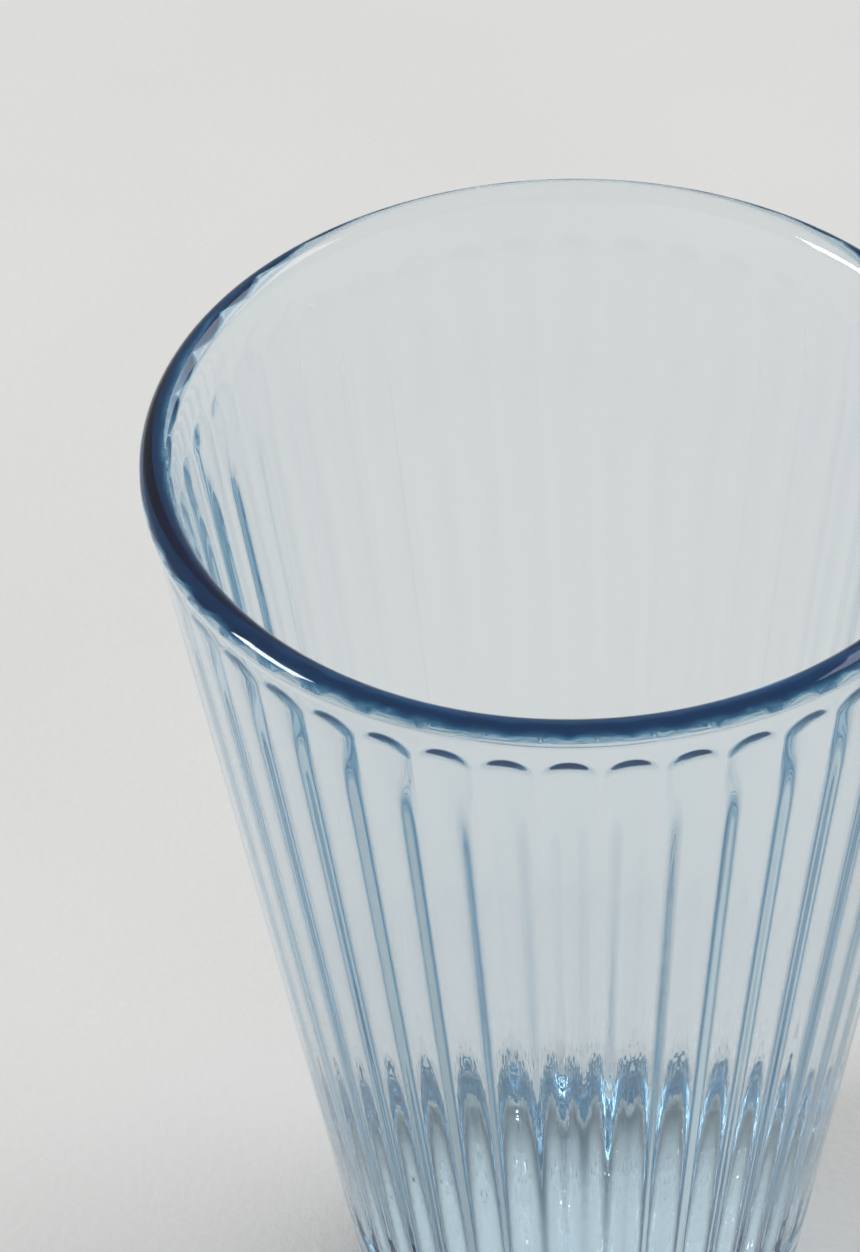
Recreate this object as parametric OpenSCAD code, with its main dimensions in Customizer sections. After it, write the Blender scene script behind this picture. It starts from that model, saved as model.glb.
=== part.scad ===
// Chai glass: a free-standing tumbler of pressed pale blue glass, all in one piece.
// It flares from a narrow foot to a wide round mouth, and its outside is smooth. Raised ribs
// run down the inside, from round noses below the lip to the floor. The bottom is thick.
// Millimetres, +Z up, origin on the table at the centre of the foot.

/* [Glass] */
// Height from the table to the top of the lip
height = 120; // [90:1:150]
// Radius at the widest point of the lip
rim_r = 40; // [36:0.5:44]
// Radius where the line of the outside wall meets the table
foot_r = 22; // [20:0.5:26]

/* [Wall] */
// Thickness of the rounded lip
lip_t = 2.8; // [2.65:0.05:3.2]
// Thickness of the wall just under the lip
band_t = 2.6; // [2.4:0.05:2.6]
// Thickness of the wall between two ribs, beside the inside floor
low_wall_t = 2.7; // [2.4:0.1:3.4]
// Thickness of the solid bottom, from the table to the inside floor
bottom_t = 15; // [10:0.5:20]
// Radius of the corner between the inside wall and the inside floor
floor_corner_r = 5; // [3:0.5:7]

/* [Ribs] */
// Number of ribs round the inside
rib_count = 42; // [36:1:42]
// How far a rib stands out of the inside wall, at the level of the lip
rib_h = 0.55; // [0.5:0.05:0.6]
// How far a rib stands out of the inside wall, at the level of the floor
low_rib_h = 0.35; // [0.35:0.05:0.45]
// Width of a rib where it meets the inside wall, at the level of the lip
rib_w = 3.2; // [2.8:0.1:3.2]
// Width of a rib where it meets the inside wall, at the level of the floor
low_rib_w = 1.9; // [1.5:0.1:1.9]
// Distance from the top of the lip down to the end of a rib's nose
band_h = 5; // [4.4:0.2:12]

/* [Foot] */
// Radius of the rounded edge round the foot
heel_r = 1.8; // [1:0.1:2.4]
// Radius of the shallow hollow under the foot
hollow_r = 15; // [8:0.5:16]
// Depth of the hollow at its middle
hollow_d = 1.6; // [0.8:0.1:2.4]

/* [Hidden] */
$fn = 96;

// The lip: a ring of round section whose outermost point is at rim_r
lip_r = lip_t / 2;
lip_z = height - lip_r;

// The outside wall is a cone, which ends in the rounded heel
flare = (rim_r - foot_r) / lip_z;
function wall_r_at(z) = foot_r + flare * z;

// The inside wall is a steeper cone, down to the rounded corner round the floor
cavity_top_r = rim_r - band_t;
cavity_low_r = wall_r_at(bottom_t) - low_wall_t;
cavity_slope = (cavity_top_r - cavity_low_r) / (lip_z - bottom_t);
cavity_tilt = atan(cavity_slope);
function cavity_r_at(z) = cavity_low_r + cavity_slope * (z - bottom_t);
corner_steps = 6;

// A rib's section across the wall is part of a circle, which stands h out of the wall and is
// w wide there. The circle grows evenly from the floor to the lip.
function section_r(w, h) = (pow(w / 2, 2) + pow(h, 2)) / (2 * h);
top_section_r = section_r(rib_w, rib_h);
low_section_r = section_r(low_rib_w, low_rib_h);
function up_share(z) = (z - bottom_t) / (lip_z - bottom_t);
function section_r_at(z) = low_section_r + (top_section_r - low_section_r) * up_share(z);
function rib_h_at(z) = low_rib_h + (rib_h - low_rib_h) * up_share(z);

// A rib's centre line lies in the wall, behind the crown of the rib. It ends at the centre of
// the nose, and at a point in the solid bottom.
function axis_r_at(z) = cavity_r_at(z) + section_r_at(z) / cos(cavity_tilt) - rib_h_at(z);
nose_z = height - band_h - top_section_r;
root_z = bottom_t - 2 * low_section_r;
axis_run = [axis_r_at(nose_z) - axis_r_at(root_z), nose_z - root_z];
rib_tilt = atan(axis_run[0] / axis_run[1]);

// A nose is an arc of short straight steps, past the angle at which it meets the wall. A flat
// disc, hidden inside the wall, closes it.
nose_step = 18;
nose_angle = 72;

// The hollow under the foot is a shallow cap of a sphere
hollow_ball_r = (pow(hollow_r, 2) + pow(hollow_d, 2)) / (2 * hollow_d);

// How far a cut runs past the face that it opens
overrun = 1;

// Solid blank: the outside cone with a rounded heel, and the ring of the lip on top
module blank() {
    heel_out_r = wall_r_at(heel_r);
    rotate_extrude() {
        polygon([
            [0, 0],
            [heel_out_r - heel_r, 0],
            [heel_out_r, heel_r],
            [rim_r, lip_z],
            [0, lip_z],
        ]);
        intersection() {
            translate([heel_out_r - heel_r, heel_r]) circle(r = heel_r);
            square([rim_r, heel_r]);
        }
        translate([rim_r - lip_r, lip_z]) circle(r = lip_r);
    }
}

// The inside of the glass without its ribs: a cone with a rounded corner round a flat floor.
// The corner's arc touches the floor and the cone.
module cavity() {
    corner_r = cavity_low_r + floor_corner_r * (cavity_slope - 1 / cos(cavity_tilt));
    rotate_extrude()
        polygon([
            [0, bottom_t],
            for (i = [0 : corner_steps])
                let (a = -90 + (90 - cavity_tilt) * i / corner_steps)
                    [corner_r + floor_corner_r * cos(a), bottom_t + floor_corner_r * (1 + sin(a))],
            [cavity_top_r, lip_z],
            [cavity_top_r, height + overrun],
            [0, height + overrun],
        ]);
}

// One rib: a slim cone that leans with the wall, with a round nose at its upper end
module rib() {
    root_r = section_r_at(root_z);
    nose_r = section_r_at(nose_z);
    length = norm(axis_run);
    translate([axis_r_at(root_z), 0, root_z])
        rotate([0, rib_tilt, 0])
            rotate_extrude()
                polygon([
                    [0, 0],
                    [root_r, 0],
                    for (a = [0 : nose_step : nose_angle])
                        [nose_r * cos(a), length + nose_r * sin(a)],
                    [0, length + nose_r * sin(nose_angle)],
                ]);
}

// All the ribs, evenly spaced round the inside
module ribs() {
    for (i = [0 : rib_count - 1])
        rotate([0, 0, 360 * (i + 0.5) / rib_count]) rib();
}

// The shallow hollow under the foot
module foot_hollow() {
    translate([0, 0, hollow_d - hollow_ball_r]) sphere(r = hollow_ball_r);
}

module glass_body() {
    color([0.74, 0.85, 0.9, 0.6])
    difference() {
        blank();
        difference() {
            cavity();
            ribs();
        }
        foot_hollow();
    }
}

glass_body();
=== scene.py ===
import math
import bpy
import numpy as np
from mathutils import Matrix, Vector


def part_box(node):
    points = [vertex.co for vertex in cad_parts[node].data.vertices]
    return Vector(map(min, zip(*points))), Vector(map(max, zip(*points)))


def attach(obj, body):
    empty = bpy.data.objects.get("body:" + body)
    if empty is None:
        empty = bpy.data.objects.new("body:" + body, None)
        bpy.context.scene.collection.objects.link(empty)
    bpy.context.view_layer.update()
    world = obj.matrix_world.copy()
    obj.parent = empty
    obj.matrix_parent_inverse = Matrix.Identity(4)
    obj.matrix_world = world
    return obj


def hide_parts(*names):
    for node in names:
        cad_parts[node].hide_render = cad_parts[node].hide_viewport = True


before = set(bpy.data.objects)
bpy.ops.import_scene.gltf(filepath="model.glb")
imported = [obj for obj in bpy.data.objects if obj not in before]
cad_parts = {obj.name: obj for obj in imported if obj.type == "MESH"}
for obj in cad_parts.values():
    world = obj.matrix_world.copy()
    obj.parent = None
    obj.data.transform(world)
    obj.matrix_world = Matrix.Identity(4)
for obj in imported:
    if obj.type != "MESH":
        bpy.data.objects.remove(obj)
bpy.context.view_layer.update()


# The tumbler: one piece of pale blue glass, pressed in a mould and fire-polished, so that every
# edge is soft. Its outside is a smooth cone, and its lip a round bead. Raised ribs run down the
# inside to a thick bottom, which stands on a ring round a shallow hollow.
MM = 0.001
low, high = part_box("glass_body")
rim_r = (high[1] - low[1]) / 2
lip_r = 1.55 * MM
# How far the bead of the lip stands out of the outside wall
bulge = 0.18 * MM
lip_z = high[2] - lip_r
foot_r = 22 * MM
# With this thickness, the inside wall touches the bead of the lip without a step
top_wall_t = 3.1195 * MM
low_wall_t = 2.6 * MM
bottom_t = 15 * MM
floor_corner_r = 5 * MM
heel_r = 1.8 * MM
hollow_r, hollow_d = 15 * MM, 1.6 * MM

flare = (rim_r - bulge - foot_r) / lip_z
wall_tilt = math.atan(flare)


def wall_r_at(z):
    return foot_r + flare * z


cavity_top_r = rim_r - top_wall_t
cavity_low_r = wall_r_at(bottom_t) - low_wall_t
cavity_slope = (cavity_top_r - cavity_low_r) / (lip_z - bottom_t)
cavity_tilt = math.atan(cavity_slope)


def cavity_r_at(z):
    return cavity_low_r + cavity_slope * (z - bottom_t)


# A rib ends in a round nose, nose_a wide to each side and part of a ball. Below wave_z it is a
# soft wave that fills wave_share of its place, and between the two it turns from one into the
# other. wave_h and nose_h are heights, as shares of the half width.
rib_count = 42
half_turn = math.pi / rib_count
nose_tip_z = 115.2 * MM
nose_a = 2.7 * MM
nose_h = 0.165
nose_z = nose_tip_z - nose_a * math.cos(cavity_tilt)
nose_share = nose_a / (cavity_r_at(nose_z) * half_turn)
wave_z = 103 * MM
wave_share = 0.97
wave_h = 0.215
polish_r = 0.12 * MM


def soft_max(a, b, width):
    """The larger of a and b, with the corner between them rounded over width."""
    near = np.maximum(width - np.abs(a - b), 0) / width
    return np.maximum(a, b) + near**2 * width / 4


def rib_rise(z, side, nose_shift):
    """How far a rib stands out of the inside wall at height z, side away from its middle."""
    middle = np.minimum(z, nose_z)
    a = np.interp(middle, [wave_z, nose_z], [wave_share, nose_share])
    a = a * cavity_r_at(middle) * half_turn
    h = a * np.interp(middle, [wave_z, nose_z], [wave_h, nose_h])
    past = np.maximum(z - nose_z - nose_shift, 0) / math.cos(cavity_tilt)
    away = np.hypot(side, past)
    radius = (a**2 + h**2) / (2 * h)
    ball = np.sqrt(np.maximum(radius**2 - away**2, 0)) - (radius - h)
    ball = ball - np.maximum(away - radius, 0)
    ball = soft_max(ball, 0 * away, polish_r)
    wave = h * (1 + np.cos(np.pi * np.minimum(away / a, 1))) / 2
    share = np.clip((middle - wave_z) / (nose_z - wave_z), 0, 1)
    share = share * share * (3 - 2 * share)
    return ball * share + wave * (1 - share)


def arc(middle, radius, start, end, steps):
    """Points [r, z] on an arc, without its first one. The angles are in degrees."""
    turns = [math.radians(start + (end - start) * i / steps) for i in range(1, steps + 1)]
    return [[middle[0] + radius * math.cos(t), middle[1] + radius * math.sin(t)] for t in turns]


# Rows of the mesh, from the middle of the underside over the lip to the middle of the floor
hollow_ball_r = (hollow_r**2 + hollow_d**2) / (2 * hollow_d)
hollow_turn = math.degrees(math.asin(hollow_r / hollow_ball_r))
hollow_middle = [0, hollow_d - hollow_ball_r]
heel = [wall_r_at(heel_r) - heel_r, heel_r]
under = [[0, hollow_d]] + arc(hollow_middle, hollow_ball_r, 90, 90 - hollow_turn, 7)
under += [[r, 0] for r in np.linspace(hollow_r, heel[0], 4)[1:]]
under += arc(heel, heel_r, -90, -math.degrees(wall_tilt), 7)

# The wall's rows stop a little below the bead
wall_top_z = lip_z - 1.4 * MM
wall = [[wall_r_at(z), z] for z in np.linspace(heel_r, wall_top_z, 9)[1:]]

# The bead starts where its circle crosses the wall, and ends where it touches the inside wall
crossing = math.acos((lip_r - bulge) * math.cos(wall_tilt) / lip_r)
lip_start, lip_end = math.degrees(-wall_tilt - crossing), 180 - math.degrees(cavity_tilt)
lip = arc([rim_r - lip_r, lip_z], lip_r, lip_start, lip_end, 30)

corner_slope = cavity_slope - 1 / math.cos(cavity_tilt)
corner = [cavity_low_r + floor_corner_r * corner_slope, bottom_t + floor_corner_r]
corner_top_z = corner[1] - floor_corner_r * math.sin(cavity_tilt)
cavity_z = np.concatenate([
    np.linspace(lip[-1][1], nose_tip_z + polish_r, 6)[1:],
    np.linspace(nose_tip_z + polish_r, nose_z - polish_r, 24)[1:],
    np.linspace(nose_z - polish_r, wave_z, 10)[1:],
    np.linspace(wave_z, corner_top_z, 20)[1:],
])
cavity = [[cavity_r_at(z), z] for z in cavity_z]
corner_rows = arc(corner, floor_corner_r, -math.degrees(cavity_tilt), -90, 10)
floor_rows = [[r, bottom_t] for r in np.linspace(corner[0], 0, 5)[1:]]
rows = np.array(under + wall + lip + cavity + corner_rows + floor_rows)
first_rib = len(under) + len(wall) + len(lip)
last_rib = first_rib + len(cavity)
last_corner = last_rib + len(corner_rows)

# Columns of the mesh: each rib has its own, and its nose ends a little higher or lower
columns_per_rib = 18
shares = np.linspace(-1, 1, columns_per_rib, endpoint=False)
nose_spread = 0.08 * MM
rng = np.random.default_rng(7)
nose_shifts = rng.normal(0, nose_spread, rib_count)
nose_shift = np.repeat(nose_shifts, columns_per_rib)
turns = np.concatenate([(i + 0.5 + shares / 2) * 2 * half_turn for i in range(rib_count)])

# The ribs rise square to the inside wall, and fade out round the corner to the floor
r = np.repeat(rows[:, :1], len(turns), axis=1)
z = np.repeat(rows[:, 1:], len(turns), axis=1)
side = r * np.tile(shares * half_turn, rib_count)[None, :]
rise = np.zeros_like(r)
ribbed = slice(first_rib, last_rib)
rise[ribbed] = rib_rise(z[ribbed], side[ribbed], nose_shift[None, :])
corner_left = np.linspace(1, 0, len(corner_rows) + 1)[1:, None]
rise[last_rib:last_corner] = rise[last_rib - 1] * corner_left
lean = np.full(len(rows), -cavity_tilt)
corner_step = math.radians(-90)
lean[last_rib:last_corner] = [
    corner_step * i / len(corner_rows) for i in range(1, len(corner_rows) + 1)
]
r -= rise * np.cos(lean)[:, None]
z -= rise * np.sin(lean)[:, None]

# The first and the last row are one point each. The others are rings, joined by quads.
points = np.stack([r * np.cos(turns), r * np.sin(turns), z], -1)[1:-1].reshape(-1, 3)
points = np.concatenate([points, [[0, 0, rows[0][1]], [0, 0, rows[-1][1]]]])
grid = np.arange((len(rows) - 2) * len(turns)).reshape(len(rows) - 2, len(turns))
after = np.roll(grid, -1, axis=1)
quads = np.stack([grid[:-1], after[:-1], after[1:], grid[1:]], -1).reshape(-1, 4)
under_middle, floor_middle = len(points) - 2, len(points) - 1
faces = [tuple(quad) for quad in quads.tolist()]
faces += [(under_middle, b, a) for a, b in zip(grid[0].tolist(), after[0].tolist())]
faces += [(floor_middle, a, b) for a, b in zip(grid[-1].tolist(), after[-1].tolist())]
mesh = bpy.data.meshes.new("tumbler")
mesh.from_pydata(points.tolist(), [], faces)
mesh.shade_smooth()
tumbler = bpy.data.objects.new("tumbler", mesh)
bpy.context.collection.objects.link(tumbler)


class Socket:
    """A shader socket. Its operators add Math nodes, so that numbers are worked out as written."""

    def __init__(self, tree, socket):
        self.tree, self.socket = tree, socket

    def node(self, kind, settings=None, inputs=None, output=0):
        """Any node of the tree: its settings first, then its sockets' values or links."""
        node = self.tree.nodes.new(kind)
        for name, value in (settings or {}).items():
            setattr(node, name, value)
        for name, value in (inputs or {}).items():
            if isinstance(value, Socket):
                self.tree.links.new(value.socket, node.inputs[name])
            else:
                node.inputs[name].default_value = value
        return Socket(self.tree, node.outputs[output]) if len(node.outputs) else None

    def math(self, operation, first, second):
        return self.node("ShaderNodeMath", {"operation": operation}, {0: first, 1: second})

    def __add__(self, other):
        return self.math("ADD", self, other)

    def __radd__(self, other):
        return self.math("ADD", other, self)

    def __sub__(self, other):
        return self.math("SUBTRACT", self, other)

    def __rsub__(self, other):
        return self.math("SUBTRACT", other, self)

    def __mul__(self, other):
        return self.math("MULTIPLY", self, other)

    def __rmul__(self, other):
        return self.math("MULTIPLY", other, self)


def new_material(name):
    """A material with an empty tree, and a Socket that can add nodes to it."""
    material = bpy.data.materials.new(name)
    material.use_nodes = True
    material.node_tree.nodes.clear()
    return material, Socket(material.node_tree, None)


def noise(place, scale, detail=2.0):
    settings = {"Vector": place, "Scale": scale, "Detail": detail}
    return place.node("ShaderNodeTexNoise", inputs=settings)


def fade_in(value, start, end):
    """0 up to start and 1 from end, with a smooth step between them."""
    ends = {"Value": value, "From Min": start, "From Max": end, "To Min": 0.0, "To Max": 1.0}
    return value.node("ShaderNodeMapRange", {"interpolation_type": "SMOOTHSTEP"}, ends)


# Pressed glass is slightly wavy all over, and more so in the thick bottom. The heights are in
# millimetres. The blue comes from the depth of the glass alone, and its surface is clear.
glass, maker = new_material("blue_glass")
place = maker.node("ShaderNodeTexCoord", output="Object")
level = maker.node("ShaderNodeSeparateXYZ", inputs={0: place}, output="Z")
ripple = noise(place, 90.0) * 0.035
waves = noise(place, 230.0) * 0.6 * (1 - fade_in(level, 18 * MM, 27 * MM))
bump = maker.node(
    "ShaderNodeBump", inputs={"Strength": 1.0, "Distance": MM, "Height": ripple + waves}
)
clear = {
    "Base Color": (1, 1, 1, 1),
    "Roughness": 0.0,
    "IOR": 1.52,
    "Transmission Weight": 1.0,
    "Normal": bump,
}
surface = maker.node("ShaderNodeBsdfPrincipled", inputs=clear)
blue = {"Color": (0.185, 0.557, 0.736, 1), "Density": 38.0}
tint = maker.node("ShaderNodeVolumeAbsorption", inputs=blue)
maker.node("ShaderNodeOutputMaterial", inputs={"Surface": surface, "Volume": tint})
mesh.materials.append(glass)
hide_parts("glass_body")
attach(tumbler, "root")


# The table: a wide, pale plaster top, smoothed by hand. Under the foot, a glow and bright specks
# stand in for the light that the thick bottom gathers from a bright room.
table_size = 6
# Just under the foot, so that the two faces don't lie in one plane
table_z = -0.02 * MM
bpy.ops.mesh.primitive_plane_add(size=table_size, location=(0, 0, table_z))
table = bpy.context.object
table.name = "table"
plaster, maker = new_material("plaster")
place = maker.node("ShaderNodeNewGeometry", output="Position")
away = maker.node(
    "ShaderNodeVectorMath", {"operation": "LENGTH"}, {0: place}, output="Value"
)
across = maker.node("ShaderNodeSeparateXYZ", inputs={0: place}, output="X")
# Painted light: bright emitting specks on the right under the foot show as glints through the
# bottom, over an even painted glow under the whole foot
cells = {"Vector": place, "Scale": 520.0}
from_painted_glint = maker.node("ShaderNodeTexVoronoi", inputs=cells, output="Distance")
painted_glints = 1 - fade_in(from_painted_glint, 0.07, 0.13)
painted_glints = painted_glints * fade_in(across, 2 * MM, 10 * MM) * (1 - fade_in(away, 21 * MM, 23 * MM))
under_foot = 1 - fade_in(away, 10 * MM, 22.5 * MM)
light = {0: (1, 0.97, 0.93), "Scale": under_foot + painted_glints * 16.0}
glow = maker.node("ShaderNodeVectorMath", {"operation": "SCALE"}, light)
patches = noise(place, 14.0, 3.0)
grain = noise(place, 900.0)
tones = {"Factor": patches, "A": (0.66, 0.66, 0.65, 1), "B": (0.74, 0.74, 0.735, 1)}
tone = maker.node("ShaderNodeMix", {"data_type": "RGBA"}, tones, output="Result")
rough = maker.node(
    "ShaderNodeBump",
    inputs={"Strength": 0.25, "Distance": 0.4 * MM, "Height": grain + patches},
)
dull = {
    "Base Color": tone,
    "Roughness": 0.9,
    "Normal": rough,
    "Emission Color": glow,
    "Emission Strength": 0.6,
}
surface = maker.node("ShaderNodeBsdfPrincipled", inputs=dull)
maker.node("ShaderNodeOutputMaterial", inputs={"Surface": surface})
table.data.materials.append(plaster)


# The light of the room: an even, slightly warm light all round, a window on the left, and a
# large soft light from high up behind, on the right.
world = bpy.data.worlds.new("studio")
bpy.context.scene.world = world
world.use_nodes = True
world.node_tree.nodes["Background"].inputs["Color"].default_value = (1, 0.99, 0.98, 1)
world.node_tree.nodes["Background"].inputs["Strength"].default_value = 0.384
lamp_distance = 3


def square_lamp(name, size, watts, toward):
    data = bpy.data.lights.new(name, "AREA")
    data.shape = "SQUARE"
    data.size = size
    data.energy = watts
    lamp = bpy.data.objects.new(name, data)
    bpy.context.collection.objects.link(lamp)
    toward = Vector(toward).normalized()
    lamp.location = toward * lamp_distance
    lamp.rotation_euler = toward.to_track_quat("Z", "Y").to_euler()


square_lamp("window", 1.0, 60.5, (-0.89, -0.20, 0.42))
square_lamp("fill", 2.6, 62.5, (0.75, 0.45, 0.7))


# The camera, at the photograph's angle: fitted to the rim, the rib noses and the sides. Its place
# is in units of the rim's radius, and is measured from a point at the level of the lip.
rim_unit = 40 * MM
back, up = 8.891138 * rim_unit, 7.598885 * rim_unit
aim_z = 118.7 * MM
pitch, yaw = math.radians(42.50908), math.radians(-2.193296)
roll, spin = math.radians(-2.016183), math.radians(0.695264)
focal_px, photo_height_px, film_mm = 5053.2335, 1252, 36
ahead = Vector(
    (math.sin(yaw) * math.cos(pitch), math.cos(yaw) * math.cos(pitch), -math.sin(pitch))
)
level_right = Vector((math.cos(yaw), -math.sin(yaw), 0))
level_above = level_right.cross(ahead)
right = math.cos(roll) * level_right + math.sin(roll) * level_above
above = -math.sin(roll) * level_right + math.cos(roll) * level_above
pose = Matrix((right, above, -ahead)).transposed().to_4x4()
pose.translation = Vector((0, -back, aim_z + up))
cam_data = bpy.data.cameras.new("camera")
cam_data.lens = focal_px / photo_height_px * film_mm
cam_data.sensor_width = film_mm
cam_data.clip_start = 0.01
camera = bpy.data.objects.new("camera", cam_data)
bpy.context.collection.objects.link(camera)
camera.matrix_world = Matrix.Rotation(spin, 4, "Z") @ pose
scene = bpy.context.scene
scene.camera = camera
scene.view_settings.view_transform = "Standard"

# Light that is caught in the lip and the bottom leaves them only after many bounces, and total
# reflection counts as a glossy one
many_bounces = 300
scene.cycles.max_bounces = many_bounces
scene.cycles.transmission_bounces = many_bounces
scene.cycles.glossy_bounces = many_bounces
